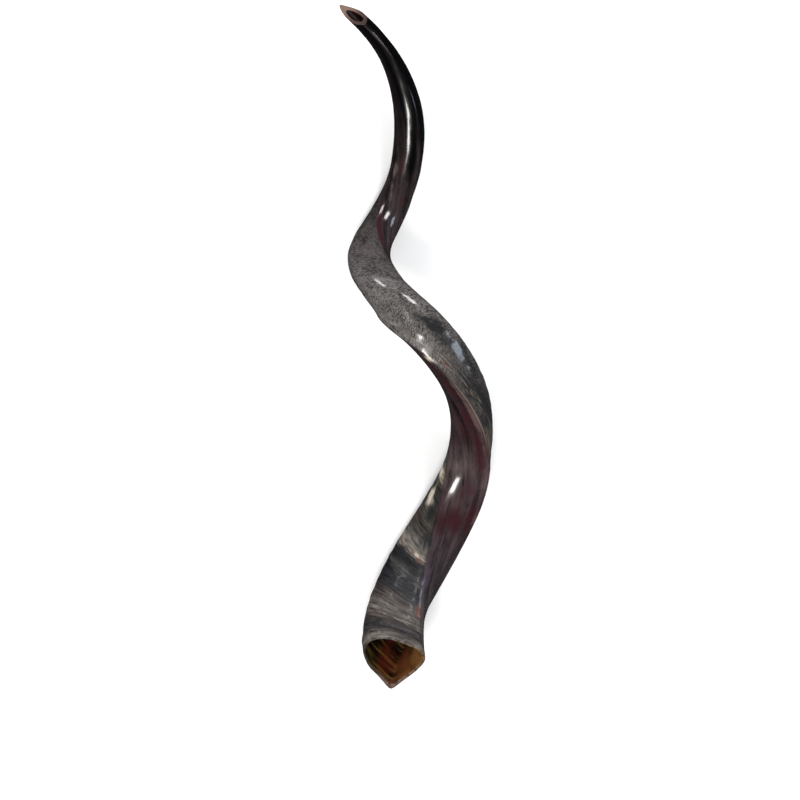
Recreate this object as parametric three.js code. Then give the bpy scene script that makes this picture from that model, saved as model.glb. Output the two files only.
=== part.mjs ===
// A kudu horn worked into a blown horn: one corkscrew tube of horn with a sharp keel, open at the
// bell and cut on a slant at the tip, where a bore comes out as the mouthpiece.
// It lies at rest on two of its bellies, +Z up, with the tip towards +Y, and the origin is on
// the surface under the middle of its outline. Lengths are millimetres and angles degrees.
import * as THREE from "three";

// The coil: the horn's middle line turns round an upright axis, from the bell at height 0.
const BELL_ANGLE = 179; // where the bell stands round the axis, from +X towards +Z
const BELL_PITCH = 535; // height of one whole turn near the bell
const TIP_PITCH = 297; // height of one whole turn near the tip
const PITCH_EASE = [210, 434]; // heights between which the pitch changes
const COIL_TOP = 701; // height at which the middle line meets the mouthpiece cut

// Profiles along the coil, each a list of [height, value] joined by a smooth curve.
const COIL_RADIUS = [
  [0, 65.5], [60, 61.5], [120, 58], [240, 53.5], [360, 40], [420, 40.5],
  [480, 32.5], [540, 21.5], [600, 19.5], [660, 25.5], [715, 42],
];
const HORN_RADIUS = [
  [0, 30.5], [120, 28], [240, 23], [300, 22], [360, 22.5],
  [420, 22.5], [480, 18.5], [600, 15.5], [660, 10.2], [715, 8],
];
// The keel's angle ahead of the coil's own angle.
const KEEL_LEAD = [
  [0, 88], [60, 90], [180, 69], [300, 77], [360, 64], [420, 95],
  [480, 122], [540, 100], [600, 50], [660, -3], [715, -47],
];
// Heights of the section's three swellings, as shares of the horn's radius there.
const KEEL_HEIGHT = [[0, 0.7], [120, 0.44], [240, 0.28], [360, 0.19], [480, 0.1], [600, 0.14], [715, 0.14]];
const RIDGE_HEIGHT = [[0, 0.2], [120, 0.14], [300, 0.05], [715, 0.07]];
const BELLY_HEIGHT = [[0, 0.28], [180, 0.12], [400, 0.25], [715, 0.1]];
// Where the second ridge and the belly stand round the section, from the keel.
const RIDGE_ANGLE = [[0, 107], [180, 114], [715, 134]];
const BELLY_ANGLE = [[0, 217], [215, 236], [715, 240]];
// How far each swelling spreads round the section, in radians.
const KEEL_SPREAD = 0.3;
const KEEL_ROUNDING = 0.06;
const RIDGE_SPREAD = 0.5;
const BELLY_SPREAD = 0.75;

// Growth rings: low swellings on the rough side near the bell, wider apart higher up.
const RING_COUNT = 12;
const RING_FIRST = 9;
const RING_GAP = 9.5;
const RING_GAP_GROWTH = 0.55;
const RING_HEIGHT = 0.8;
const RING_WIDTH = 3.4;
const RING_SLANT = 5; // how far a ring climbs and falls on its way round the horn
const RING_TOP_TURN = 1; // where a ring is lowest, in radians from the keel
const RING_FADE = 0.5; // how far past the second ridge the rings reach full height, in radians

// The bell's cut leans away from square by these angles.
const BELL_CUT_BACK = -10.5;
const BELL_CUT_SIDE = 6.5;
// The mouthpiece cut runs at a slant to the horn's line and faces round from the front.
const MOUTHPIECE_SLANT = 24.5;
const MOUTHPIECE_FACING = 9;

// The hollow follows the outside at the bell and narrows to a round bore towards the tip.
const BELL_WALL = 3.6;
const UPPER_WALL = 5.8;
const WALL_EASE = [10, 260]; // heights between which the wall grows thicker
const INNER_KEEL_SHARE = 0.8; // how much of the keel's height the hollow follows
const BORE_RADIUS = 4.2;
const BORE_EASE = [340, 520]; // heights between which the hollow turns into the bore
const CUP_RADIUS = 5.8; // half the mouthpiece hole's width along the slant
const CUP_DEPTH = 32; // height over which the bore opens into that hole

// How the mesh is divided.
const SIDES = 36;
const INNER_SIDES = SIDES / 2;
const SIDE_CROWDING = 0.55; // how much closer the sides stand at the keel
const RINGED_LENGTH = 190;
const RINGED_STEP = 4.2;
const SMOOTH_STEP = 8.2;
const INNER_STEP = 18;
const BELL_FADE = 90; // height over which the rows turn from the bell's cut to level
const TIP_FADE = 46;
const BELL_REACH = 60; // heights searched on both sides of the bell for its edge
const TIP_REACH = 30;
const HALVINGS = 40; // steps of that search
const HALF_STRIDE = 0.5; // half the height over which the middle line's direction is taken

// The resting pose: how far the coil is rolled about its axis, and its tip let down.
const REST_ROLL = -7.3;
const REST_DIP = 5.7;

const radians = THREE.MathUtils.degToRad;
const DEPTH = new THREE.Vector3(0, 0, 1);

// A smooth curve through a profile's points, straight at both ends.
function smoothCurve(points) {
  const x = points.map((point) => point[0]);
  const y = points.map((point) => point[1]);
  const last = points.length - 1;
  const bend = new Array(last + 1).fill(0);
  const carry = new Array(last + 1).fill(0);
  for (let i = 1; i < last; i++) {
    const before = x[i] - x[i - 1];
    const after = x[i + 1] - x[i];
    const turn = (y[i + 1] - y[i]) / after - (y[i] - y[i - 1]) / before;
    const pivot = 2 * (before + after) - before * carry[i - 1];
    carry[i] = after / pivot;
    bend[i] = (6 * turn - before * bend[i - 1]) / pivot;
  }
  for (let i = last - 1; i > 0; i--) {
    bend[i] -= carry[i] * bend[i + 1];
  }
  return (at) => {
    let i = 0;
    while (i < last - 1 && at > x[i + 1]) {
      i++;
    }
    const span = x[i + 1] - x[i];
    const b = (at - x[i]) / span;
    const a = 1 - b;
    const sag = (a ** 3 - a) * bend[i] + (b ** 3 - b) * bend[i + 1];
    return a * y[i] + b * y[i + 1] + (sag * span * span) / 6;
  };
}

const coilRadius = smoothCurve(COIL_RADIUS);
const hornRadius = smoothCurve(HORN_RADIUS);
const keelLead = smoothCurve(KEEL_LEAD);
const keelHeight = smoothCurve(KEEL_HEIGHT);
const ridgeHeight = smoothCurve(RIDGE_HEIGHT);
const bellyHeight = smoothCurve(BELLY_HEIGHT);
const ridgeAngle = smoothCurve(RIDGE_ANGLE);
const bellyAngle = smoothCurve(BELLY_ANGLE);

// The coil's angle at a height: its rate eases from the bell's pitch to the tip's.
function coilAngle(height) {
  const [from, to] = PITCH_EASE;
  const t = THREE.MathUtils.clamp((height - from) / (to - from), 0, 1);
  const eased = (to - from) * (t ** 3 - t ** 4 / 2) + Math.max(height - to, 0);
  const bellRate = 360 / BELL_PITCH;
  const tipRate = 360 / TIP_PITCH;
  return BELL_ANGLE + bellRate * height + (tipRate - bellRate) * eased;
}

function middlePoint(height) {
  const angle = radians(coilAngle(height));
  const radius = coilRadius(height);
  return new THREE.Vector3(radius * Math.cos(angle), height, radius * Math.sin(angle));
}

// The middle point at a height with its three directions: along the horn, right and front.
function station(height) {
  const centre = middlePoint(height);
  const ahead = middlePoint(height + HALF_STRIDE);
  const along = ahead.sub(middlePoint(height - HALF_STRIDE)).normalize();
  const right = along.clone().cross(DEPTH).normalize();
  const front = right.clone().cross(along);
  return { centre, along, right, front };
}

// The difference between two angles, brought between minus and plus half a turn.
function turnBetween(a, b) {
  return THREE.MathUtils.euclideanModulo(a - b + Math.PI, 2 * Math.PI) - Math.PI;
}

function hump(turn, spread) {
  return Math.exp(-((turn / spread) ** 2));
}

// The section's shape round the keel, as a share of the horn's radius.
function sectionShape(theta, height, keelShare) {
  const off = turnBetween(theta, 0);
  const crest = Math.exp((KEEL_ROUNDING - Math.hypot(off, KEEL_ROUNDING)) / KEEL_SPREAD);
  const keel = keelShare * keelHeight(height) * crest;
  const ridgeTurn = turnBetween(theta, radians(ridgeAngle(height)));
  const bellyTurn = turnBetween(theta, radians(bellyAngle(height)));
  const ridge = ridgeHeight(height) * hump(ridgeTurn, RIDGE_SPREAD);
  const belly = bellyHeight(height) * hump(bellyTurn, BELLY_SPREAD);
  return 1 + keel + ridge + belly;
}

// The growth rings' relief: full on the rough side, none between the keel and the second ridge.
function ringRelief(theta, height) {
  const fromRidge = THREE.MathUtils.euclideanModulo(theta, 2 * Math.PI) - radians(ridgeAngle(height));
  const rough = THREE.MathUtils.smoothstep(fromRidge, 0, RING_FADE);
  const slanted = height + RING_SLANT * Math.cos(theta - RING_TOP_TURN);
  let relief = 0;
  for (let i = 0; i < RING_COUNT; i++) {
    const at = RING_FIRST + i * RING_GAP + i * i * RING_GAP_GROWTH;
    relief += hump(slanted - at, RING_WIDTH) * (1 - i / RING_COUNT);
  }
  return RING_HEIGHT * rough * relief;
}

function outerRadius(theta, height) {
  return hornRadius(height) * sectionShape(theta, height, 1) + ringRelief(theta, height);
}

function innerRadius(theta, height) {
  const thicker = THREE.MathUtils.smoothstep(height, ...WALL_EASE);
  const wall = THREE.MathUtils.lerp(BELL_WALL, UPPER_WALL, thicker);
  const hollow = hornRadius(height) * sectionShape(theta, height, INNER_KEEL_SHARE) - wall;
  const opening = THREE.MathUtils.smoothstep(height, COIL_TOP - CUP_DEPTH, COIL_TOP);
  const acrossSlant = Math.cos(theta + radians(keelTurn(height) - 90 + MOUTHPIECE_FACING)) ** 2;
  const bore = BORE_RADIUS + (CUP_RADIUS - BORE_RADIUS) * opening * acrossSlant;
  return THREE.MathUtils.lerp(hollow, bore, THREE.MathUtils.smoothstep(height, ...BORE_EASE));
}

// The keel's angle in the section, from its right towards its front.
function keelTurn(height) {
  return coilAngle(height) + keelLead(height);
}

// A point of the surface with a given radius, theta round from the keel.
function surfacePoint(radiusAt, theta, height) {
  const { centre, right, front } = station(height);
  const angle = theta + radians(keelTurn(height));
  const radius = radiusAt(theta, height);
  return centre
    .addScaledVector(right, radius * Math.cos(angle))
    .addScaledVector(front, radius * Math.sin(angle));
}

function bellPlane() {
  const { centre, along, right, front } = station(0);
  const normal = along
    .addScaledVector(front, Math.tan(radians(BELL_CUT_BACK)))
    .addScaledVector(right, Math.tan(radians(BELL_CUT_SIDE)))
    .normalize();
  return new THREE.Plane().setFromNormalAndCoplanarPoint(normal, centre);
}

function mouthpiecePlane() {
  const { centre, along, right, front } = station(COIL_TOP);
  const slant = radians(MOUTHPIECE_SLANT);
  const facing = radians(MOUTHPIECE_FACING);
  const normal = along
    .multiplyScalar(Math.sin(slant))
    .addScaledVector(front, Math.cos(slant) * Math.cos(facing))
    .addScaledVector(right, Math.cos(slant) * Math.sin(facing));
  return new THREE.Plane().setFromNormalAndCoplanarPoint(normal, centre);
}

// The height, within reach of a given one, at which the surface's line at theta crosses a cut.
function crossingHeight(radiusAt, theta, plane, height, reach) {
  let [below, above] = [height - reach, height + reach];
  for (let i = 0; i < HALVINGS; i++) {
    const middle = (below + above) / 2;
    if (plane.distanceToPoint(surfacePoint(radiusAt, theta, middle)) < 0) {
      below = middle;
    } else {
      above = middle;
    }
  }
  return (below + above) / 2;
}

// Row heights from the bell to the tip, closer together where the growth rings are.
function outerRows() {
  const ringed = Math.round(RINGED_LENGTH / RINGED_STEP);
  const smooth = Math.round((COIL_TOP - RINGED_LENGTH) / SMOOTH_STEP);
  const rows = [];
  for (let i = 0; i < ringed; i++) {
    rows.push((RINGED_LENGTH * i) / ringed);
  }
  for (let i = 0; i <= smooth; i++) {
    rows.push(THREE.MathUtils.lerp(RINGED_LENGTH, COIL_TOP, i / smooth));
  }
  return rows;
}

function innerRows() {
  const count = Math.round(COIL_TOP / INNER_STEP);
  return Array.from({ length: count + 1 }, (_, i) => (COIL_TOP * i) / count);
}

// The sides' angles round the section from the keel, crowded towards it.
function sideAngles(count) {
  return Array.from({ length: count }, (_, i) => {
    const turn = (2 * Math.PI * i) / count;
    return turn - SIDE_CROWDING * Math.sin(turn);
  });
}

// Rings of points from the bell's cut to the mouthpiece's, one ring for each row.
function surfaceRings(radiusAt, rows, angles, bell, mouthpiece) {
  const bellOffsets = angles.map((theta) => crossingHeight(radiusAt, theta, bell, 0, BELL_REACH));
  const tipOffsets = angles.map(
    (theta) => crossingHeight(radiusAt, theta, mouthpiece, COIL_TOP, TIP_REACH) - COIL_TOP,
  );
  return rows.map((row) => {
    const bellShare = Math.max(1 - row / BELL_FADE, 0) ** 2;
    const tipShare = Math.max(1 - (COIL_TOP - row) / TIP_FADE, 0) ** 2;
    return angles.map((theta, side) => {
      const height = row + bellShare * bellOffsets[side] + tipShare * tipOffsets[side];
      return surfacePoint(radiusAt, theta, height);
    });
  });
}

// One closed body from the outer skin, the hollow and the two cut faces between them.
function hornGeometry() {
  const bell = bellPlane();
  const mouthpiece = mouthpiecePlane();
  const outer = surfaceRings(outerRadius, outerRows(), sideAngles(SIDES), bell, mouthpiece);
  const inner = surfaceRings(innerRadius, innerRows(), sideAngles(INNER_SIDES), bell, mouthpiece);
  const points = [];
  const triangles = [];

  function addRings(rings) {
    return rings.map((ring) => ring.map((point) => points.push(point) - 1));
  }
  // A quad between two rows, its corners in order as seen from outside.
  function addQuad(a, b, c, d) {
    triangles.push(a, b, c, a, c, d);
  }
  function addSkin(rings, facesOut) {
    const sides = rings[0].length;
    for (let row = 0; row < rings.length - 1; row++) {
      for (let side = 0; side < sides; side++) {
        const next = (side + 1) % sides;
        const [a, d] = [rings[row][side], rings[row][next]];
        const [b, c] = [rings[row + 1][side], rings[row + 1][next]];
        if (facesOut) {
          addQuad(a, b, c, d);
        } else {
          addQuad(d, c, b, a);
        }
      }
    }
  }
  // A flat cut face: each side of the inner ring meets two sides of the outer one.
  function addCut(outerRing, innerRing, facesUp) {
    innerRing.forEach((corner, side) => {
      const next = innerRing[(side + 1) % INNER_SIDES];
      const first = outerRing[2 * side];
      const middle = outerRing[2 * side + 1];
      const second = outerRing[(2 * side + 2) % SIDES];
      const faces = [[corner, first, middle], [corner, middle, next], [next, middle, second]];
      faces.forEach(([a, b, c]) => triangles.push(...(facesUp ? [a, c, b] : [a, b, c])));
    });
  }

  const outerIds = addRings(outer);
  const innerIds = addRings(inner);
  addSkin(outerIds, true);
  addSkin(innerIds, false);
  addCut(outerIds[0], innerIds[0], false);
  addCut(outerIds.at(-1), innerIds.at(-1), true);
  const geometry = new THREE.BufferGeometry().setFromPoints(points).setIndex(triangles);
  geometry.computeVertexNormals();
  return geometry;
}

// Polished horn: dark grey-brown with a wet-looking gloss.
const polishedHorn = new THREE.MeshStandardMaterial({ color: 0x4a4140, roughness: 0.28, metalness: 0 });

function layHornDown() {
  const horn = new THREE.Mesh(hornGeometry(), polishedHorn);
  horn.name = "horn";
  horn.rotation.set(radians(-REST_DIP), radians(REST_ROLL), 0, "XYZ");
  const box = new THREE.Box3().setFromObject(horn, true);
  const middle = box.getCenter(new THREE.Vector3());
  horn.position.set(-middle.x, -middle.y, -box.min.z);
  return horn;
}

const part = new THREE.Group();
part.add(layHornDown());

export default part;
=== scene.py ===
"""A polished kudu horn, worked into a blown horn, lying on a pale floor.

It is laid out as an add-on and run as a script. The horn's surface is worked out from the same
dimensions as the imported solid, closer together, and its finish follows the horn's own line.
"""

import bpy
import numpy as np
from bpy.props import FloatProperty, FloatVectorProperty, IntProperty, PointerProperty
from mathutils import Matrix, Vector, noise


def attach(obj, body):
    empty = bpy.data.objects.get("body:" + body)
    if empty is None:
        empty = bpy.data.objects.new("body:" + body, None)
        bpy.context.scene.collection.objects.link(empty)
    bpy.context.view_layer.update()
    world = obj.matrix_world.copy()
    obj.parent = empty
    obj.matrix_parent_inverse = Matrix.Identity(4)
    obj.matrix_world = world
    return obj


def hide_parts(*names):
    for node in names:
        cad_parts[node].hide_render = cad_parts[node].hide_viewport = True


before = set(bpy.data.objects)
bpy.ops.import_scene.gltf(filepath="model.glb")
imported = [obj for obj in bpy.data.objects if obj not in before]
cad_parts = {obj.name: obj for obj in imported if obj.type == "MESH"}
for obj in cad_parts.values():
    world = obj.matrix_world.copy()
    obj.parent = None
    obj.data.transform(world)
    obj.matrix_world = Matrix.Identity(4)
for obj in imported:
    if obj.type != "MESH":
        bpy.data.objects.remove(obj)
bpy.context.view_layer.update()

bl_info = {
    "name": "Kudu horn",
    "version": (1, 0, 0),
    "blender": (4, 5, 0),
    "location": "View3D > Sidebar > Horn",
    "description": "Makes a polished kudu horn and the stage it lies on",
    "category": "Add Mesh",
}

# The horn's dimensions are millimetres and degrees in the coil's own frame: Y up the coil's axis
# from the bell, X to the right, Z to the viewer.
BELL_ANGLE = 179
BELL_PITCH = 535
TIP_PITCH = 297
PITCH_EASE = (210, 434)
COIL_TOP = 701
COIL_RADIUS = [
    (0, 65.5), (60, 61.5), (120, 58), (240, 53.5), (360, 40), (420, 40.5),
    (480, 32.5), (540, 21.5), (600, 19.5), (660, 25.5), (715, 42),
]
HORN_RADIUS = [
    (0, 30.5), (120, 28), (240, 23), (300, 22), (360, 22.5),
    (420, 22.5), (480, 18.5), (600, 15.5), (660, 10.2), (715, 8),
]
KEEL_LEAD = [
    (0, 88), (60, 90), (180, 69), (300, 77), (360, 64), (420, 95),
    (480, 122), (540, 100), (600, 50), (660, -3), (715, -47),
]
KEEL_HEIGHT = [(0, 0.7), (120, 0.44), (240, 0.28), (360, 0.19), (480, 0.1), (600, 0.14), (715, 0.14)]
RIDGE_HEIGHT = [(0, 0.2), (120, 0.14), (300, 0.05), (715, 0.07)]
BELLY_HEIGHT = [(0, 0.28), (180, 0.12), (400, 0.25), (715, 0.1)]
RIDGE_ANGLE = [(0, 107), (180, 114), (715, 134)]
BELLY_ANGLE = [(0, 217), (215, 236), (715, 240)]
KEEL_SPREAD = 0.3
KEEL_ROUNDING = 0.06
RIDGE_SPREAD = 0.5
BELLY_SPREAD = 0.75
BELL_CUT_BACK = -10.5
BELL_CUT_SIDE = 6.5
MOUTHPIECE_SLANT = 24.5
MOUTHPIECE_FACING = 9
BELL_WALL = 3.6
UPPER_WALL = 5.8
WALL_EASE = (10, 260)
INNER_KEEL_SHARE = 0.8
BORE_RADIUS = 4.2
BORE_EASE = (340, 520)
CUP_RADIUS = 5.8
CUP_DEPTH = 32
BELL_FADE = 90
TIP_FADE = 46

# The pose in which the horn lies: its turns, and where the coil frame's origin then stands.
REST_ROLL = -7.3
REST_DIP = 5.7
REST_PLACE = (10.815, -338.036, 99.346)

# The growth rings near the bell.
RING_FIRST = 9
RING_GAP = 9.5
RING_GAP_GROWTH = 0.55
RING_WIDTH = 3.4
RING_SLANT = 13
RING_LOW_TURN = 1.6
RING_SLANT_EASE = (4, 45)
RING_FADE = 0.14

# The hollow beside the keel's lip: its depth, its place in radians from the keel, its spread, and
# the heights over which it starts and ends.
GROOVE_DEPTH = 1.4
GROOVE_TURN = 0.46
GROOVE_SPREAD = 0.15
GROOVE_START = (205, 245)
GROOVE_END = (315, 350)

# The low lumps: how many fit in a millimetre across the horn, the share of that along it, how the
# finer ones fall off, and how much of them the smooth side has.
LUMP_GRAIN = 0.05
LUMP_STRETCH = 0.5
LUMP_FALL = 0.8
LUMP_GAP = 2.0
LUMP_LAYERS = 3
SMOOTH_LUMPS = 0.4

# The rough side's ripples: how many fit in a millimetre across and along the horn, and the heights
# over which they end.
RIPPLE_ACROSS = 0.02
RIPPLE_ALONG = 0.17
RIPPLE_END = (380, 470)

# Patches of the skin: height, degrees from the keel, half length, half width and strength.
# The maroon patches are red-brown colour of the smooth side. The three at 22 to 30 degrees from the keel,
# from 228 to 300 mm up, lie in the groove beside the keel's lip and are also painted shade for it.
MAROON_AND_GROOVE_SHADE = [
    (150, 62, 15, 48, 0.9), (143, 98, 15, 17, 1), (158, 22, 26, 20, 1), (84, 62, 10, 14, 0.8),
    (190, 55, 22, 42, 0.7), (300, 27, 46, 13, 1), (262, 30, 30, 20, 1), (228, 22, 38, 22, 1),
    (246, 52, 12, 13, 0.8), (472, 120, 34, 14, 1), (540, 68, 44, 8, 0.9), (505, 45, 20, 14, 0.7),
]
PURPLE = [
    (78, 101, 26, 8, 1), (225, 14, 42, 5, 0.3), (190, 60, 12, 30, 0.5), (415, 215, 8, 15, 0.8),
    (410, 180, 14, 20, 0.5), (352, 22, 7, 18, 0.8),
]
CHARCOAL = [
    (275, 325, 58, 44, 1), (318, 290, 40, 30, 1), (120, 125, 16, 16, 1), (22, 198, 5, 12, 1),
    (146, 130, 14, 16, 1), (352, 280, 20, 26, 0.9), (70, 150, 9, 40, 0.8),
]
CREAM = [
    (335, 5, 5, 9, 0.9), (162, 150, 14, 17, 1), (100, 132, 4, 9, 0.7), (190, 146, 6, 24, 1),
]
BROWN = [(42, 116, 12, 8, 0.9), (135, 180, 4, 22, 0.9), (322, 346, 9, 8, 0.7), (96, 128, 5, 10, 0.8)]
PALE = [(666, 6, 30, 7, 1), (218, 80, 22, 24, 0.4), (530, 88, 34, 12, 0.7), (470, 84, 24, 10, 0.5)]
BLACK = [(625, 28, 70, 30, 1), (565, 30, 34, 20, 1), (630, 330, 80, 34, 1), (640, 240, 75, 90, 1)]
LIP = [(280, 10, 54, 8, 1), (180, 8, 50, 5, 0.5)]
# The keel line is the pale worn crest near 280 mm. Its two fainter stretches higher up, at 400 and 540 mm,
# are painted highlights along the keel.
KEEL_LINE_AND_HIGHLIGHTS = [(280, 2, 60, 2.4, 0.8), (400, 1, 60, 3, 0.35), (540, 1, 60, 3, 0.35)]
HATCH = [(355, 340, 110, 12, 1)]

# The rough side's colours from the bell up, by height in millimetres along its slanted bands.
BANDS = [
    (0, (150, 143, 136)), (4, (104, 95, 88)), (16, (64, 60, 62)), (26, (96, 86, 80)),
    (34, (126, 117, 111)), (52, (92, 83, 79)), (64, (54, 53, 57)), (78, (47, 50, 57)),
    (86, (88, 84, 82)), (90, (43, 45, 49)), (103, (48, 48, 51)), (109, (164, 152, 140)),
    (120, (124, 119, 114)), (132, (80, 74, 68)), (150, (82, 78, 72)), (168, (68, 67, 62)),
    (186, (56, 52, 50)), (202, (160, 148, 132)), (214, (70, 66, 62)), (230, (122, 114, 105)),
    (256, (78, 72, 69)), (300, (94, 90, 88)), (345, (108, 103, 101)), (392, (108, 104, 103)),
    (440, (86, 80, 79)), (500, (66, 60, 60)), (548, (32, 27, 29)), (600, (15, 13, 16)),
    (700, (15, 13, 16)),
]
# The smooth side's colours by height.
SMOOTH = [
    (0, (82, 75, 78)), (57, (76, 69, 71)), (114, (67, 57, 60)), (156, (66, 50, 53)),
    (208, (88, 76, 77)), (240, (60, 46, 48)), (300, (54, 40, 42)), (360, (60, 48, 50)),
    (475, (60, 51, 53)), (530, (54, 47, 46)), (590, (38, 30, 31)), (700, (24, 18, 20)),
]

# Screen colours of the hollow and the cut faces that the sidebar doesn't list.
HOLLOW_STRIPE = (20, 12, 4)
HOLLOW_BROWN = (84, 48, 20)
HOLLOW_TOP = (26, 13, 6)
# The next colour is painted shade: the hollow turns near black deeper in.
HOLLOW_DEEP_SHADE = (24, 6, 4)
TIP_HEEL = (30, 20, 20)
TIP_SIDE = (76, 59, 55)
RIM_LEFT = (62, 53, 48)
RIM_TOP = (112, 104, 100)
RIM_KEEL = (116, 94, 84)

# How many features of each noise fit in a metre: across the horn both ways, and along it.
WIDE_STREAKS = (170, 170, 7)
FINE_STREAKS = (700, 700, 12)
BLOTCHES = (70, 70, 45)
SPECKS = (1100, 1100, 600)
SCRATCHES = (900, 900, 60)
DASHES = (270, 270, 1700)
BAND_LINES = (34, 34, 640)
BAND_WANDER = (45, 45, 60)
HOLLOW_STRIPES = (18, 18, 560)
HOLLOW_MOTTLE = (60, 60, 40)
TIP_LAYERS = (420, 420, 60)
RIM_LAYERS = (240, 240, 240)

# How deep the finest relief looks, in metres.
OUTSIDE_BUMP = 0.0004
HOLLOW_BUMP = 0.0006
TIP_BUMP = 0.0002
RIM_BUMP = 0.0003

# How many millimetres make one of the scene's metres.
MILLIMETRES = 1000

# How the fine skin is divided, how far it stays inside the solid and how its edges are rounded, in
# millimetres. Past its first steps, the mouthpiece hole's rounded edge has the hollow's finish.
SIDES = 120
SIDE_CROWDING = 0.45
OUTER_ROWS = 600
INNER_ROWS = 110
SKIN_INSET = 0.3
BELL_ROUNDING = 0.9
MOUTHPIECE_ROUNDING = 0.8
HOLE_ROUNDING = 3
EDGE_STEPS = 5
CUT_EDGE_STEPS = 1
RIM_LINES = (0.12, 0.5, 0.88)

# Half the height over which directions are taken, the search for where the skin meets a cut, and the
# steps in which the horn's length is measured.
HALF_STRIDE = 0.5
BELL_REACH = 60
TIP_REACH = 30
HALVINGS = 40
ARC_STEPS = 800

# The camera, in the coil's frame: it looks straight down the coil's depth, tilted in the picture.
CAMERA_DISTANCE = 2000
VIEW_WIDTH = 880
VIEW_MIDDLE = (-57.2, 277.2)
VIEW_TILT = 6.5
SENSOR = 36

# The lamps: degrees round from +X, degrees up, metres off, metres wide and high, share and colour.
LAMPS = [
    ("upper lamp", 115, 25, 2.0, (0.5, 0.35), 0.4, (1, 1, 1)),
    ("strip lamp", 5, 22, 2.0, (0.35, 0.8), 0.3, (0.75, 0.85, 1)),
    ("back lamp", -130, 58, 2.0, (0.5, 0.5), 1.0, (1, 0.98, 0.95)),
    ("high lamp", 60, 50, 2.0, (0.5, 0.5), 0.75, (1, 1, 1)),
]
LAMP_AIM = (0, 0, 0.05)
FLOOR_HALF = 4


def smooth_curve(points):
    """The smooth curve through a profile's (height, value) points, as a function of height."""
    at, value = np.array(points, float).T
    span = np.diff(at)
    system = np.eye(len(at))
    pull = np.zeros(len(at))
    for i in range(1, len(at) - 1):
        system[i, i - 1 : i + 2] = span[i - 1], 2 * (span[i - 1] + span[i]), span[i]
        pull[i] = 6 * ((value[i + 1] - value[i]) / span[i] - (value[i] - value[i - 1]) / span[i - 1])
    bend = np.linalg.solve(system, pull)

    def curve(height):
        i = np.clip(np.searchsorted(at, height, side="left") - 1, 0, len(span) - 1)
        b = (height - at[i]) / span[i]
        a = 1 - b
        sag = (a**3 - a) * bend[i] + (b**3 - b) * bend[i + 1]
        return a * value[i] + b * value[i + 1] + sag * span[i] ** 2 / 6

    return curve


coil_radius = smooth_curve(COIL_RADIUS)
horn_radius = smooth_curve(HORN_RADIUS)
keel_lead = smooth_curve(KEEL_LEAD)
keel_height = smooth_curve(KEEL_HEIGHT)
ridge_height = smooth_curve(RIDGE_HEIGHT)
belly_height = smooth_curve(BELLY_HEIGHT)
ridge_angle = smooth_curve(RIDGE_ANGLE)
belly_angle = smooth_curve(BELLY_ANGLE)


def ease(value, low, high):
    """0 below low, 1 above high and smooth between."""
    t = np.clip((value - low) / (high - low), 0, 1)
    return t * t * (3 - 2 * t)


def lerp(a, b, share):
    return a + (b - a) * share


def coil_angle(height):
    """The coil's turn at a height, in degrees. Its pitch eases from the bell's to the tip's."""
    low, high = PITCH_EASE
    t = np.clip((height - low) / (high - low), 0, 1)
    eased = (high - low) * (t**3 - t**4 / 2) + np.maximum(height - high, 0)
    bell_rate, tip_rate = 360 / BELL_PITCH, 360 / TIP_PITCH
    return BELL_ANGLE + bell_rate * height + (tip_rate - bell_rate) * eased


def middle_point(height):
    angle = np.radians(coil_angle(height))
    radius = coil_radius(height)
    return np.stack([radius * np.cos(angle), height + 0 * radius, radius * np.sin(angle)], -1)


def unit(vectors):
    return vectors / np.linalg.norm(vectors, axis=-1, keepdims=True)


def station(height):
    """The middle point at a height with its directions along the horn, right and front."""
    height = np.asarray(height, float)
    along = unit(middle_point(height + HALF_STRIDE) - middle_point(height - HALF_STRIDE))
    right = unit(np.cross(along, (0.0, 0.0, 1.0)))
    return middle_point(height), along, right, np.cross(right, along)


def keel_turn(height):
    """The keel's turn round the middle line, in degrees."""
    return coil_angle(height) + keel_lead(height)


def turn_between(a, b):
    """The turn from b to a, at most half a turn either way, in radians."""
    return (a - b + np.pi) % (2 * np.pi) - np.pi


def section_shape(theta, height, keel_share):
    """How far the section reaches at theta, as a share of the round horn's radius."""
    off = turn_between(theta, 0)
    crest = np.exp((KEEL_ROUNDING - np.hypot(off, KEEL_ROUNDING)) / KEEL_SPREAD)
    ridge_turn = turn_between(theta, np.radians(ridge_angle(height)))
    belly_turn = turn_between(theta, np.radians(belly_angle(height)))
    keel = keel_share * keel_height(height) * crest
    ridge = ridge_height(height) * np.exp(-((ridge_turn / RIDGE_SPREAD) ** 2))
    belly = belly_height(height) * np.exp(-((belly_turn / BELLY_SPREAD) ** 2))
    return 1 + keel + ridge + belly


def rough_side(theta, height):
    """1 on the rough side, 0 on the smooth side between the keel and the second ridge."""
    return ease(theta % (2 * np.pi) - np.radians(ridge_angle(height)), 0, RING_FADE)


def outer_radius(theta, height):
    return horn_radius(height) * section_shape(theta, height, 1) - SKIN_INSET


def inner_radius(theta, height):
    """The hollow follows the skin at a wall's thickness, narrows to the bore and opens at the tip."""
    wall = lerp(BELL_WALL, UPPER_WALL, ease(height, *WALL_EASE))
    hollow = horn_radius(height) * section_shape(theta, height, INNER_KEEL_SHARE) - wall
    opening = ease(height, COIL_TOP - CUP_DEPTH, COIL_TOP)
    along_slant = np.cos(theta + np.radians(keel_turn(height) - 90 + MOUTHPIECE_FACING)) ** 2
    bore = BORE_RADIUS + (CUP_RADIUS - BORE_RADIUS) * opening * along_slant
    return lerp(hollow, bore, ease(height, *BORE_EASE))


def surface_point(radius, theta, height):
    centre, _, right, front = station(height)
    angle = theta + np.radians(keel_turn(height))
    across = (radius * np.cos(angle))[..., None] * right
    return centre + across + (radius * np.sin(angle))[..., None] * front


def bell_plane():
    """A point on the bell's cut and the direction square to it, into the horn."""
    centre, along, right, front = station(0)
    back, side = np.tan(np.radians([BELL_CUT_BACK, BELL_CUT_SIDE]))
    return centre, unit(along + back * front + side * right)


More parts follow.
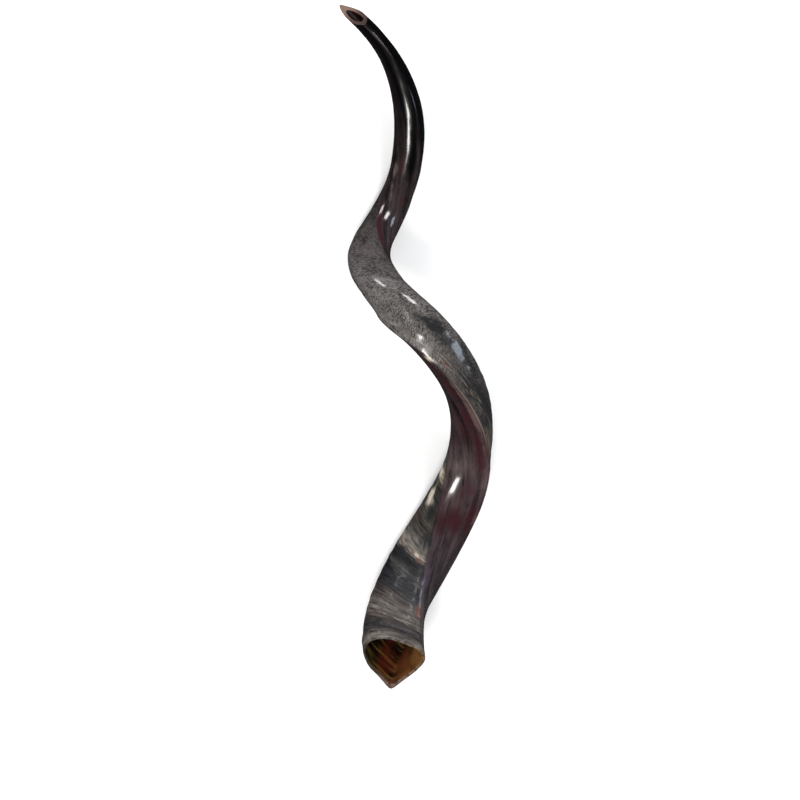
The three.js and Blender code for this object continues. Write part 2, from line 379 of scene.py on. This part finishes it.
def mouthpiece_plane():
    """A point on the mouthpiece's cut and the direction square to it, out of the horn."""
    centre, along, right, front = station(COIL_TOP)
    slant, facing = np.radians([MOUTHPIECE_SLANT, MOUTHPIECE_FACING])
    outward = np.cos(slant) * (np.cos(facing) * front + np.sin(facing) * right)
    return centre, np.sin(slant) * along + outward


def crossing_height(radius_at, theta, plane, height, reach):
    """The height, within reach of a given one, at which the skin at theta crosses a cut."""
    centre, normal = plane
    below = np.full(theta.shape, height - reach, float)
    above = np.full(theta.shape, height + reach, float)
    for _ in range(HALVINGS):
        middle = (below + above) / 2
        short = (surface_point(radius_at(theta, middle), theta, middle) - centre) @ normal < 0
        below = np.where(short, middle, below)
        above = np.where(short, above, middle)
    return (below + above) / 2


def side_angles():
    """The turns of a ring's points from the keel, closest together at the keel."""
    turn = 2 * np.pi * np.arange(SIDES) / SIDES
    return turn - SIDE_CROWDING * np.sin(turn)


def band_height(theta, row):
    """How high up the slanted growth bands a point lies: the bands climb round the horn."""
    return row + RING_SLANT * ease(row, *RING_SLANT_EASE) * np.cos(theta - RING_LOW_TURN)


def growth_rings(theta, row, sizes):
    """The growth rings' relief, in millimetres."""
    relief = np.zeros(np.shape(theta))
    band = band_height(theta, row)
    for i in range(sizes.ring_count):
        at = RING_FIRST + i * RING_GAP + i * i * RING_GAP_GROWTH
        offset = (band - at) / RING_WIDTH
        relief += (1 - i / sizes.ring_count) * np.exp(-(offset**2))
    return sizes.ring_height * MILLIMETRES * relief


def skin_relief(theta, height, row, radius, sizes):
    """Growth rings, low lumps, ripples and the groove beside the keel, in millimetres."""
    lumps = np.empty(theta.shape)
    ripples = np.empty(theta.shape)
    for index, (turn, at, size) in enumerate(zip(theta, height, radius)):
        x, y = size * np.cos(turn), size * np.sin(turn)
        lump_place = Vector((x, y, at * LUMP_STRETCH)) * LUMP_GRAIN
        lumps[index] = noise.fractal(lump_place, LUMP_FALL, LUMP_GAP, LUMP_LAYERS)
        ripples[index] = noise.noise(Vector((x * RIPPLE_ACROSS, y * RIPPLE_ACROSS, at * RIPPLE_ALONG)))
    rough = rough_side(theta, height)
    rings = rough * growth_rings(theta, row, sizes)
    low = sizes.lump_height * MILLIMETRES * (lumps - 0.5) * lerp(SMOOTH_LUMPS, 1, rough)
    rippled = rough * (1 - ease(height, *RIPPLE_END))
    fine = sizes.ripple_height * MILLIMETRES * (ripples - 0.5) * rippled
    hollow = np.exp(-(((turn_between(theta, 0) - GROOVE_TURN) / GROOVE_SPREAD) ** 2))
    groove = GROOVE_DEPTH * hollow * ease(height, *GROOVE_START) * (1 - ease(height, *GROOVE_END))
    return rings + low + fine - groove


OUTSIDE, MOUTHPIECE, INSIDE, BELL_RIM = range(4)


class Skin:
    """The closed skin as rings of points: outside to the tip, the mouthpiece, back inside, the rim."""

    def __init__(self, sizes):
        self.sizes = sizes
        self.angles = side_angles()
        self.points, self.radius, self.height, self.row, self.finish = [], [], [], [], []
        bell, mouthpiece = bell_plane(), mouthpiece_plane()
        self.outer_low = crossing_height(outer_radius, self.angles, bell, 0, BELL_REACH)
        self.inner_low = crossing_height(inner_radius, self.angles, bell, 0, BELL_REACH)
        outer_top = crossing_height(outer_radius, self.angles, mouthpiece, COIL_TOP, TIP_REACH)
        inner_top = crossing_height(inner_radius, self.angles, mouthpiece, COIL_TOP, TIP_REACH)
        self.outer_high, self.inner_high = outer_top - COIL_TOP, inner_top - COIL_TOP
        self.make()

    def add(self, points, radius, height, row, finish):
        """Adds a ring; finish is the material of the faces from it to the next one."""
        self.points.append(points)
        self.radius.append(radius)
        self.height.append(height)
        self.row.append(row + 0 * height)
        self.finish.append(finish)

    def heights(self, row, low, high):
        """A row's heights: it turns from the bell's cut to level, and to the mouthpiece cut."""
        bell_share = max(1 - row / BELL_FADE, 0) ** 2
        tip_share = max(1 - (COIL_TOP - row) / TIP_FADE, 0) ** 2
        return row + bell_share * low + tip_share * high

    def outer(self, row):
        """The outside's points at a row, with their radii and heights."""
        height = self.heights(row, self.outer_low, self.outer_high)
        radius = outer_radius(self.angles, height)
        radius = radius + skin_relief(self.angles, height, row, radius, self.sizes)
        return surface_point(radius, self.angles, height), radius, height

    def inner(self, row):
        """The hollow's points at a row, with their radii and heights."""
        height = self.heights(row, self.inner_low, self.inner_high)
        radius = inner_radius(self.angles, height)
        return surface_point(radius, self.angles, height), radius, height

    def cut(self, first, first_back, second, second_back, rounding, row, finish):
        """A flat face between two corners, each rounded into the skin behind it."""
        across = unit(second[0] - first[0])
        first_flat, second_flat = first[0] + rounding * across, second[0] - rounding * across

        def bend(start, corner, end, share):
            return (1 - share) ** 2 * start + 2 * share * (1 - share) * corner + share**2 * end

        for step in range(EDGE_STEPS):
            points = bend(first_back, first[0], first_flat, step / EDGE_STEPS)
            self.add(points, first[1], first[2], row, finish)
        for share in RIM_LINES:
            radius, height = lerp(first[1], second[1], share), lerp(first[2], second[2], share)
            self.add(lerp(first_flat, second_flat, share), radius, height, row, finish)
        for step in range(EDGE_STEPS + 1):
            points = bend(second_flat, second[0], second_back, step / EDGE_STEPS)
            behind = INSIDE if finish == MOUTHPIECE and step > CUT_EDGE_STEPS else finish
            self.add(points, second[1], second[2], row, behind)

    def make(self):
        """Adds all the rings. The last one is dropped, because the first one takes its place."""
        low, high, mouth = BELL_ROUNDING, COIL_TOP - MOUTHPIECE_ROUNDING, COIL_TOP - HOLE_ROUNDING
        for row in np.linspace(low, high, OUTER_ROWS)[:-1]:
            self.add(*self.outer(row), row, OUTSIDE)
        outer_top, inner_top = self.outer(COIL_TOP), self.inner(COIL_TOP)
        outer_back, inner_back = self.outer(high)[0], self.inner(mouth)[0]
        self.cut(outer_top, outer_back, inner_top, inner_back, MOUTHPIECE_ROUNDING, COIL_TOP, MOUTHPIECE)
        for row in np.linspace(mouth, low, INNER_ROWS)[1:-1]:
            self.add(*self.inner(row), row, INSIDE)
        inner_low, outer_low = self.inner(0), self.outer(0)
        inner_back, outer_back = self.inner(low)[0], self.outer(low)[0]
        self.cut(inner_low, inner_back, outer_low, outer_back, BELL_ROUNDING, 0, BELL_RIM)
        for values in (self.points, self.radius, self.height, self.row, self.finish):
            values.pop()


def rest_turn():
    """The turn from the coil's frame to the pose in which the horn lies."""
    dip = Matrix.Rotation(np.radians(-REST_DIP), 3, "X")
    return np.array(dip @ Matrix.Rotation(np.radians(REST_ROLL), 3, "Y"))


def arc_length(height):
    """The length along the middle line from the bell to a height, in millimetres."""
    steps = np.linspace(-BELL_REACH, COIL_TOP + TIP_REACH, ARC_STEPS)
    pieces = np.linalg.norm(np.diff(middle_point(steps), axis=0), axis=1)
    length = np.concatenate([[0], np.cumsum(pieces)])
    return np.interp(height, steps, length - np.interp(0, steps, length))


class Wire:
    """A value inside one material. Arithmetic on it adds Math nodes."""

    def __init__(self, shader, socket):
        self.shader = shader
        self.socket = socket

    def math(self, operation, *values):
        inputs = dict(enumerate(values))
        return self.shader.node("ShaderNodeMath", {"operation": operation}, inputs)

    def __add__(self, other):
        return self.math("ADD", self, other)

    def __radd__(self, other):
        return self.math("ADD", other, self)

    def __sub__(self, other):
        return self.math("SUBTRACT", self, other)

    def __rsub__(self, other):
        return self.math("SUBTRACT", other, self)

    def __mul__(self, other):
        return self.math("MULTIPLY", self, other)

    def __rmul__(self, other):
        return self.math("MULTIPLY", other, self)

    def above(self, low, high):
        """0 below low, 1 above high and smooth between; low may be the larger, which turns it round."""
        settings = {"interpolation_type": "SMOOTHSTEP"}
        inputs = {"Value": self, "From Min": low, "From Max": high, "To Min": 0.0, "To Max": 1.0}
        return self.shader.node("ShaderNodeMapRange", settings, inputs)


class Shader:
    """The nodes of one material, or of the world."""

    def __init__(self, owner):
        self.owner = owner
        owner.use_nodes = True
        self.tree = owner.node_tree
        self.tree.nodes.clear()

    def node(self, kind, settings=None, inputs=None, output=0):
        """Adds a node: first its settings, then the values or links of its sockets."""
        node = self.tree.nodes.new(kind)
        for name, value in (settings or {}).items():
            if name == "stops":
                self.set_stops(node.color_ramp, value)
            else:
                setattr(node, name, value)
        for key, value in (inputs or {}).items():
            if isinstance(value, Wire):
                self.tree.links.new(value.socket, node.inputs[key])
            else:
                node.inputs[key].default_value = value
        if output is None:
            return None
        return Wire(self, node.outputs[output])

    def set_stops(self, ramp, stops):
        while len(ramp.elements) > 1:
            ramp.elements.remove(ramp.elements[-1])
        for i, (place, colour) in enumerate(stops):
            element = ramp.elements[0] if i == 0 else ramp.elements.new(place)
            element.position = place
            element.color = (*colour, 1)

    def attribute(self, name):
        settings = {"attribute_type": "GEOMETRY", "attribute_name": name}
        return self.node("ShaderNodeAttribute", settings, output="Vector")

    def parts(self, name):
        """The three values of an attribute."""
        vector = self.attribute(name)
        return [self.node("ShaderNodeSeparateXYZ", None, {0: vector}, i) for i in range(3)]

    def noise(self, vector, scale, detail=3.0, roughness=0.55):
        """Noise from 0 to 1, half on average; scale is how many features fit in a metre each way."""
        stretched = self.node("ShaderNodeVectorMath", {"operation": "MULTIPLY"}, {0: vector, 1: scale})
        inputs = {"Vector": stretched, "Scale": 1.0, "Detail": detail, "Roughness": roughness}
        return self.node("ShaderNodeTexNoise", None, inputs)

    def mix(self, share, a, b):
        """Two colours blended by a share."""
        inputs = {0: share, 6: self.colour(a), 7: self.colour(b)}
        return self.node("ShaderNodeMix", {"data_type": "RGBA"}, inputs, 2)

    def scaled(self, colour, factor):
        """A colour made lighter or darker."""
        inputs = {0: colour, "Scale": factor}
        return self.node("ShaderNodeVectorMath", {"operation": "SCALE"}, inputs)

    def colour(self, value):
        return value if isinstance(value, Wire) else (*value, 1.0)

    def ramp(self, value, stops):
        return self.node("ShaderNodeValToRGB", {"stops": stops}, {0: value})

    def polish(self, colour, roughness, relief, distance, gloss):
        """The polished surface and the material's output; gloss holds its other sockets."""
        bump = self.node("ShaderNodeBump", None, {"Distance": distance, "Height": relief})
        inputs = {"Base Color": self.colour(colour), "Roughness": roughness, "Normal": bump, **gloss}
        surface = self.node("ShaderNodeBsdfPrincipled", None, inputs)
        self.node("ShaderNodeOutputMaterial", None, {"Surface": surface}, None)
        return self.owner


def tint(red, green, blue):
    """A colour given as screen values from 0 to 255, as linear light."""
    values = np.array([red, green, blue]) / 255
    linear = np.where(values <= 0.04045, values / 12.92, ((values + 0.055) / 1.055) ** 2.4)
    return tuple(float(v) for v in linear)


def stops_along(colours):
    return [(height / COIL_TOP, tint(*colour)) for height, colour in colours]


GLOSS = {"Specular IOR Level": 0.35, "Coat Weight": 0.5, "Coat Roughness": 0.09}


def outside_material(colours):
    """The polished outside: streaked on the smooth side, banded and felted on the rough one."""
    shader = Shader(bpy.data.materials.new("horn outside"))
    grain, ringed = shader.attribute("grain"), shader.attribute("rings")
    rough, height, band = shader.parts("place")
    maroon_and_groove_shade, purple, charcoal = shader.parts("dark spots and groove shade")
    cream, brown, pale = shader.parts("pale spots")
    lip, keel_line_and_highlights, hatch = shader.parts("keel marks and highlights")
    black, _, _ = shader.parts("tip marks")

    wide_streaks = shader.noise(grain, WIDE_STREAKS, 4, 0.6)
    fine_streaks = shader.noise(grain, FINE_STREAKS, 4, 0.7)
    patches = shader.noise(grain, BLOTCHES, 5, 0.65)
    specks = shader.noise(grain, SPECKS, 2, 0.7)
    dashes = shader.noise(ringed, DASHES, 4, 0.75) * 0.6 + specks * 0.2 + patches * 0.2
    lines = shader.noise(ringed, BAND_LINES, 6, 0.8) * 0.8 + specks * 0.2
    wander = shader.noise(ringed, BAND_WANDER, 3, 0.6)

    def spot(mask, amount):
        """Where a patch shows: its edge is frayed by the noises."""
        frayed = mask + (patches - 0.5) * 2.2 + (fine_streaks - 0.5) * 0.8
        return frayed.above(0.25, 1.0) * mask.above(0.0, 0.5) * amount

    streak = wide_streaks * 0.4 + fine_streaks * 0.3 + patches * 0.3
    smooth = shader.ramp(height + (patches - 0.5) * 0.05, stops_along(SMOOTH))
    smooth = shader.scaled(smooth, 0.1 + streak.above(0.34, 0.68) * 1.15)

    near_bell = height.above(0.4, 0.28)
    banded = shader.ramp(band + (wander - 0.5) * 0.035 + (lines - 0.5) * 0.03, stops_along(BANDS))
    stripes = lines.above(0.4, 0.6) * near_bell + dashes.above(0.4, 0.6) * (1 - near_bell)
    lightness = 0.1 + stripes + (dashes - 0.5) * 0.5
    rough_skin = shader.scaled(banded, lightness * (1 - near_bell * 0.22))
    colour = shader.mix(rough, smooth, rough_skin)

    colour = shader.mix(spot(brown, 0.8), colour, colours.brown)
    # Red-brown patches, and painted shade in the groove beside the keel's lip.
    colour = shader.mix(spot(maroon_and_groove_shade, 0.85), colour, colours.maroon_and_groove_shade)
    colour = shader.mix(spot(purple, 0.7), colour, colours.purple)
    colour = shader.mix(spot(charcoal, 0.95), colour, colours.charcoal)
    colour = shader.mix(spot(cream, 0.85), colour, colours.cream)
    colour = shader.mix(spot(pale, 0.6), colour, colours.pale)
    colour = shader.mix(spot(lip, 0.75), colour, colours.lip)
    # The pale keel line: the worn crest low down and painted highlights along the keel higher up, flecked
    # by the specks.
    colour = shader.mix(keel_line_and_highlights.above(0.2, 0.8) * (0.35 + 0.6 * specks), colour, colours.keel)
    scratches = shader.noise(grain, SCRATCHES, 2, 0.6).above(0.5, 0.7)
    colour = shader.mix(hatch * scratches * 0.35, colour, colours.cream)
    colour = shader.mix(black.above(0.1, 0.6) * 0.97, colour, colours.black)

    roughness = 0.17 + 0.22 * rough * near_bell + (specks - 0.5) * 0.08
    relief = lines * rough * near_bell + dashes * rough * 0.45 + fine_streaks * 0.15
    thin_coat = {**GLOSS, "Coat Weight": GLOSS["Coat Weight"] - 0.42 * rough * near_bell}
    return shader.polish(colour, roughness, relief, OUTSIDE_BUMP, thin_coat)


def inside_material(colours):
    """The hollow: olive stripes on the left, red-brown at the keel, amber on the right that is partly
    painted light shining through the wall, and painted shade deeper in.
    """
    shader = Shader(bpy.data.materials.new("horn inside"))
    grain, ringed = shader.attribute("grain"), shader.attribute("rings")
    _, height, _ = shader.parts("place")
    _, right, top = shader.parts("tip marks")
    stripes = shader.noise(ringed, HOLLOW_STRIPES, 4, 0.65)
    mottle = shader.noise(grain, HOLLOW_MOTTLE, 4, 0.6)
    olive = shader.mix(stripes.above(0.48, 0.6), tint(*HOLLOW_STRIPE), colours.olive)
    # The right wall's amber is partly the horn's own colour and partly painted light shining through the
    # thin wall.
    amber_and_glow = shader.mix(mottle.above(0.3, 0.7), tint(*HOLLOW_BROWN), colours.amber_and_glow)
    wall = shader.mix((right + (mottle - 0.5) * 0.25).above(0.46, 0.64), olive, amber_and_glow)
    crease = top.above(0.16, 0.02) * (mottle + stripes * 0.3).above(0.5, 0.8)
    wall = shader.mix(crease * 0.7, wall, colours.crease)
    wall = shader.mix(top.above(0.5, 0.9) * 0.85, wall, tint(*HOLLOW_TOP))
    # Painted shade: from about 7 mm to 56 mm up, the hollow fades to near black deeper in.
    wall = shader.mix(height.above(0.01, 0.08), wall, tint(*HOLLOW_DEEP_SHADE))
    relief = stripes * 0.7 + mottle * 0.5
    roughness = 0.4 + (mottle - 0.5) * 0.2
    return shader.polish(wall, roughness, relief, HOLLOW_BUMP, {"Specular IOR Level": 0.3})


def mouthpiece_material(colours):
    """The slanted cut: dark at its heel, brown along its sides and palest at its toe."""
    shader = Shader(bpy.data.materials.new("horn mouthpiece"))
    grain = shader.attribute("grain")
    _, height, _ = shader.parts("place")
    layers = shader.noise(grain, TIP_LAYERS, 3, 0.6)
    frayed = height + (layers - 0.5) * 0.02
    colour = shader.mix(frayed.above(0.965, 0.995), tint(*TIP_HEEL), tint(*TIP_SIDE))
    colour = shader.mix(frayed.above(0.995, 1.02), colour, colours.mouthpiece)
    colour = shader.scaled(colour, 0.8 + layers * 0.4)
    return shader.polish(colour, 0.3, layers, TIP_BUMP, GLOSS)


def rim_material(colours):
    """The bell's cut rim: pale at the top, dark on the left, beige on the right, mauve at the keel."""
    shader = Shader(bpy.data.materials.new("horn bell rim"))
    _, right, top = shader.parts("tip marks")
    layers = shader.noise(shader.attribute("grain"), RIM_LAYERS, 4, 0.65)
    to_right = (right + (layers - 0.5) * 0.2).above(0.45, 0.9)
    colour = shader.mix(to_right, tint(*RIM_LEFT), colours.rim)
    colour = shader.mix(top.above(0.7, 0.98) * 0.6, colour, tint(*RIM_TOP))
    colour = shader.mix(top.above(0.12, 0.02) * 0.7, colour, tint(*RIM_KEEL))
    colour = shader.scaled(colour, layers.above(0.3, 0.7) * 1.1 + 0.2)
    return shader.polish(colour, 0.3 + (layers - 0.5) * 0.1, layers, RIM_BUMP, GLOSS)


def patch_mask(theta, height, patches):
    """How strongly a list of patches covers each point."""
    mask = np.zeros(theta.shape)
    for at, turn, half_length, half_width, strength in patches:
        along = (height - at) / half_length
        across = turn_between(theta, np.radians(turn)) / np.radians(half_width)
        mask = np.maximum(mask, strength * np.exp(-(along**2) - across**2))
    return mask


def vertex_facts(skin):
    """What the materials read at every point of the skin, as vectors by attribute name."""
    radius, height, row = (np.array(values) for values in (skin.radius, skin.height, skin.row))
    theta = np.broadcast_to(skin.angles, height.shape)
    across, aside = radius * np.cos(theta) / MILLIMETRES, radius * np.sin(theta) / MILLIMETRES
    band = band_height(theta, row)
    masks = [
        patch_mask(theta, height, patches)
        for patches in (MAROON_AND_GROOVE_SHADE, PURPLE, CHARCOAL, CREAM, BROWN, PALE, LIP, KEEL_LINE_AND_HIGHLIGHTS, HATCH, BLACK)
    ]
    right, top = 0.5 + 0.5 * np.sin(theta), 0.5 - 0.5 * np.cos(theta)
    facts = {
        "grain": (across, aside, arc_length(height) / MILLIMETRES),
        "rings": (across, aside, band / MILLIMETRES),
        "place": (rough_side(theta, height), height / COIL_TOP, band / COIL_TOP),
        "dark spots and groove shade": masks[0:3],
        "pale spots": masks[3:6],
        "keel marks and highlights": masks[6:9],
        "tip marks": (masks[9], right, top),
    }
    return {name: np.stack(values, -1) for name, values in facts.items()}


def skin_mesh(name, skin, points):
    """The closed mesh through the rings of points, whose last ring joins the first."""
    count = len(points)
    ring, side = np.meshgrid(np.arange(count), np.arange(SIDES), indexing="ij")
    near, far = ring * SIDES, (ring + 1) % count * SIDES
    next_side = (side + 1) % SIDES
    faces = np.stack([near + side, far + side, far + next_side, near + next_side], -1).reshape(-1, 4)
    mesh = bpy.data.meshes.new(name)
    mesh.from_pydata(points.reshape(-1, 3).tolist(), [], faces.tolist())
    mesh.polygons.foreach_set("material_index", np.repeat(skin.finish, SIDES).astype(np.int32))
    mesh.polygons.foreach_set("use_smooth", np.ones(len(faces), bool))
    for fact, values in vertex_facts(skin).items():
        layer = mesh.attributes.new(fact, "FLOAT_VECTOR", "POINT")
        layer.data.foreach_set("vector", values.astype(np.float32).ravel())
    mesh.validate()
    mesh.update()
    return mesh


class HornSizes(bpy.types.PropertyGroup):
    """The relief of the horn's skin."""

    ring_count: IntProperty(
        name="Growth rings", description="How many growth rings stand out near the bell", default=12, min=1
    )
    ring_height: FloatProperty(
        name="Ring height", description="How high the lowest growth ring stands", default=0.0008,
        subtype="DISTANCE", unit="LENGTH", precision=5
    )
    lump_height: FloatProperty(
        name="Lump height", description="How uneven the whole skin is", default=0.0005,
        subtype="DISTANCE", unit="LENGTH", precision=5
    )
    ripple_height: FloatProperty(
        name="Ripple height", description="How high the small ripples of the rough side are",
        default=0.0004, subtype="DISTANCE", unit="LENGTH", precision=5
    )


def colour_property(name, description, screen):
    return FloatVectorProperty(name=name, description=description, subtype="COLOR", default=tint(*screen))


class HornColours(bpy.types.PropertyGroup):
    """The horn's main colours."""

    # Maroon is red-brown colour, and also the painted shade of the groove beside the keel.
    maroon_and_groove_shade: colour_property("Maroon", "Red-brown patches of the smooth side", (50, 22, 27))
    purple: colour_property("Purple", "Bluish purple patches", (66, 56, 72))
    charcoal: colour_property("Charcoal", "Dark patches of the rough side", (30, 30, 32))
    cream: colour_property("Cream", "Pale patches", (196, 184, 166))
    brown: colour_property("Brown", "Reddish brown patches", (92, 62, 52))
    pale: colour_property("Pale streaks", "Grey-brown streaks of the smooth side", (98, 88, 85))
    black: colour_property("Black", "The flanks near the tip", (3, 3, 5))
    lip: colour_property("Lip", "The brown band beside the keel", (92, 74, 72))
    # This colour serves both the worn crest and the painted highlights higher up the keel.
    keel: colour_property("Worn keel", "The pale line along the keel", (128, 119, 106))
    olive: colour_property("Olive", "Left wall of the hollow", (116, 98, 50))
    # Amber is partly the horn's colour and partly painted light that shines through the wall.
    amber_and_glow: colour_property("Amber", "Right wall of the hollow", (140, 100, 54))
    crease: colour_property("Crease", "The hollow's corner under the keel", (112, 40, 26))
    rim: colour_property("Bell rim", "Right side of the bell's cut face", (108, 90, 70))
    mouthpiece: colour_property("Mouthpiece", "The toe of the tip's cut face", (122, 100, 88))


class StageLook(bpy.types.PropertyGroup):
    """The floor and the light."""

    floor: FloatVectorProperty(
        name="Floor", description="Colour of the floor", subtype="COLOR", default=(0.95, 0.95, 0.95)
    )
    power: FloatProperty(
        name="Lamps", description="Strength of the strongest lamp", default=20, unit="POWER"
    )
    sky: FloatProperty(
        name="Surroundings", description="Their brightness on dull surfaces", default=0.8, min=0
    )
    gleam: FloatProperty(
        name="Gleam", description="The surroundings' brightness in the gloss", default=0.02, min=0
    )


class HORN_OT_make_horn(bpy.types.Operator):
    """Make the horn's skin from the bell to the mouthpiece, with its finish"""

    bl_idname = "object.make_kudu_horn"
    bl_label = "Make the horn"
    bl_options = {"REGISTER", "UNDO"}

    def execute(self, context):
        skin = Skin(context.scene.horn_sizes)
        colours = context.scene.horn_colours
        points = (np.array(skin.points) @ rest_turn().T + REST_PLACE) / MILLIMETRES
        mesh = skin_mesh("horn skin", skin, points)
        mesh.materials.append(outside_material(colours))
        mesh.materials.append(mouthpiece_material(colours))
        mesh.materials.append(inside_material(colours))
        mesh.materials.append(rim_material(colours))
        horn = bpy.data.objects.new("horn_skin", mesh)
        context.scene.collection.objects.link(horn)
        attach(horn, "root")
        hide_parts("horn")
        return {"FINISHED"}


def add_lamp(scene, name, azimuth, elevation, distance, size, power, colour):
    lamp = bpy.data.lights.new(name, "AREA")
    lamp.shape = "RECTANGLE"
    lamp.size, lamp.size_y = size
    lamp.energy = power
    lamp.color = colour
    light = bpy.data.objects.new(name, lamp)
    turn, rise = np.radians([azimuth, elevation])
    away = Vector((np.cos(rise) * np.cos(turn), np.cos(rise) * np.sin(turn), np.sin(rise)))
    light.location = Vector(LAMP_AIM) + away * distance
    light.rotation_euler = (-away).to_track_quat("-Z", "Y").to_euler()
    light.visible_camera = False
    scene.collection.objects.link(light)


class HORN_OT_make_stage(bpy.types.Operator):
    """Make the floor, the lights and the camera"""

    bl_idname = "object.make_horn_stage"
    bl_label = "Make the stage"
    bl_options = {"REGISTER", "UNDO"}

    def execute(self, context):
        scene, look = context.scene, context.scene.horn_stage
        self.add_floor(scene, look)
        self.add_world(scene, look)
        for name, azimuth, elevation, distance, size, share, colour in LAMPS:
            add_lamp(scene, name, azimuth, elevation, distance, size, share * look.power, colour)
        self.add_camera(scene)
        return {"FINISHED"}

    def add_floor(self, scene, look):
        half = FLOOR_HALF
        mesh = bpy.data.meshes.new("floor")
        corners = [(-half, -half, 0), (half, -half, 0), (half, half, 0), (-half, half, 0)]
        mesh.from_pydata(corners, [], [(0, 1, 2, 3)])
        shader = Shader(bpy.data.materials.new("floor"))
        inputs = {"Base Color": (*look.floor, 1.0), "Roughness": 0.8, "Specular IOR Level": 0.1}
        surface = shader.node("ShaderNodeBsdfPrincipled", None, inputs)
        shader.node("ShaderNodeOutputMaterial", None, {"Surface": surface}, None)
        mesh.materials.append(shader.owner)
        floor = bpy.data.objects.new("floor", mesh)
        floor.visible_glossy = False
        scene.collection.objects.link(floor)

    def add_world(self, scene, look):
        """Soft light all round, kept dim in the gloss so that the lamps' reflections stand out."""
        shader = Shader(bpy.data.worlds.new("surroundings"))
        glossy = shader.node("ShaderNodeLightPath", output="Is Glossy Ray")
        strength = look.sky - glossy * (look.sky - look.gleam)
        inputs = {"Color": (1, 1, 1, 1), "Strength": strength}
        background = shader.node("ShaderNodeBackground", None, inputs)
        shader.node("ShaderNodeOutputWorld", None, {"Surface": background}, None)
        scene.world = shader.owner
        scene.view_settings.view_transform = "Standard"

    def add_camera(self, scene):
        tilt = np.radians(VIEW_TILT)
        turn = Matrix(rest_turn().tolist())
        x, y = VIEW_MIDDLE
        across, up = x * np.cos(tilt) + y * np.sin(tilt), y * np.cos(tilt) - x * np.sin(tilt)
        place = turn @ Vector((across, up, CAMERA_DISTANCE)) + Vector(REST_PLACE)
        axes = turn @ Matrix.Rotation(-tilt, 3, "Z")
        data = bpy.data.cameras.new("camera")
        data.sensor_width = SENSOR
        data.lens = SENSOR * CAMERA_DISTANCE / VIEW_WIDTH
        camera = bpy.data.objects.new("camera", data)
        camera.matrix_world = Matrix.Translation(place / MILLIMETRES) @ axes.to_4x4()
        scene.collection.objects.link(camera)
        scene.camera = camera


class HORN_PT_panel(bpy.types.Panel):
    """The horn's sizes and colours, and what makes it"""

    bl_idname = "HORN_PT_panel"
    bl_label = "Kudu horn"
    bl_space_type = "VIEW_3D"
    bl_region_type = "UI"
    bl_category = "Horn"

    def draw(self, context):
        layout = self.layout
        for group, operator in (
            (context.scene.horn_sizes, None),
            (context.scene.horn_colours, HORN_OT_make_horn),
            (context.scene.horn_stage, HORN_OT_make_stage),
        ):
            box = layout.box()
            for name in group.__annotations__:
                box.prop(group, name)
            if operator:
                box.operator(operator.bl_idname)


CLASSES = (HornSizes, HornColours, StageLook, HORN_OT_make_horn, HORN_OT_make_stage, HORN_PT_panel)


def register():
    for each in CLASSES:
        bpy.utils.register_class(each)
    bpy.types.Scene.horn_sizes = PointerProperty(type=HornSizes)
    bpy.types.Scene.horn_colours = PointerProperty(type=HornColours)
    bpy.types.Scene.horn_stage = PointerProperty(type=StageLook)


def unregister():
    del bpy.types.Scene.horn_stage
    del bpy.types.Scene.horn_colours
    del bpy.types.Scene.horn_sizes
    for each in reversed(CLASSES):
        bpy.utils.unregister_class(each)


def main():
    register()
    bpy.ops.object.make_kudu_horn()
    bpy.ops.object.make_horn_stage()


if __name__ == "__main__":
    main()
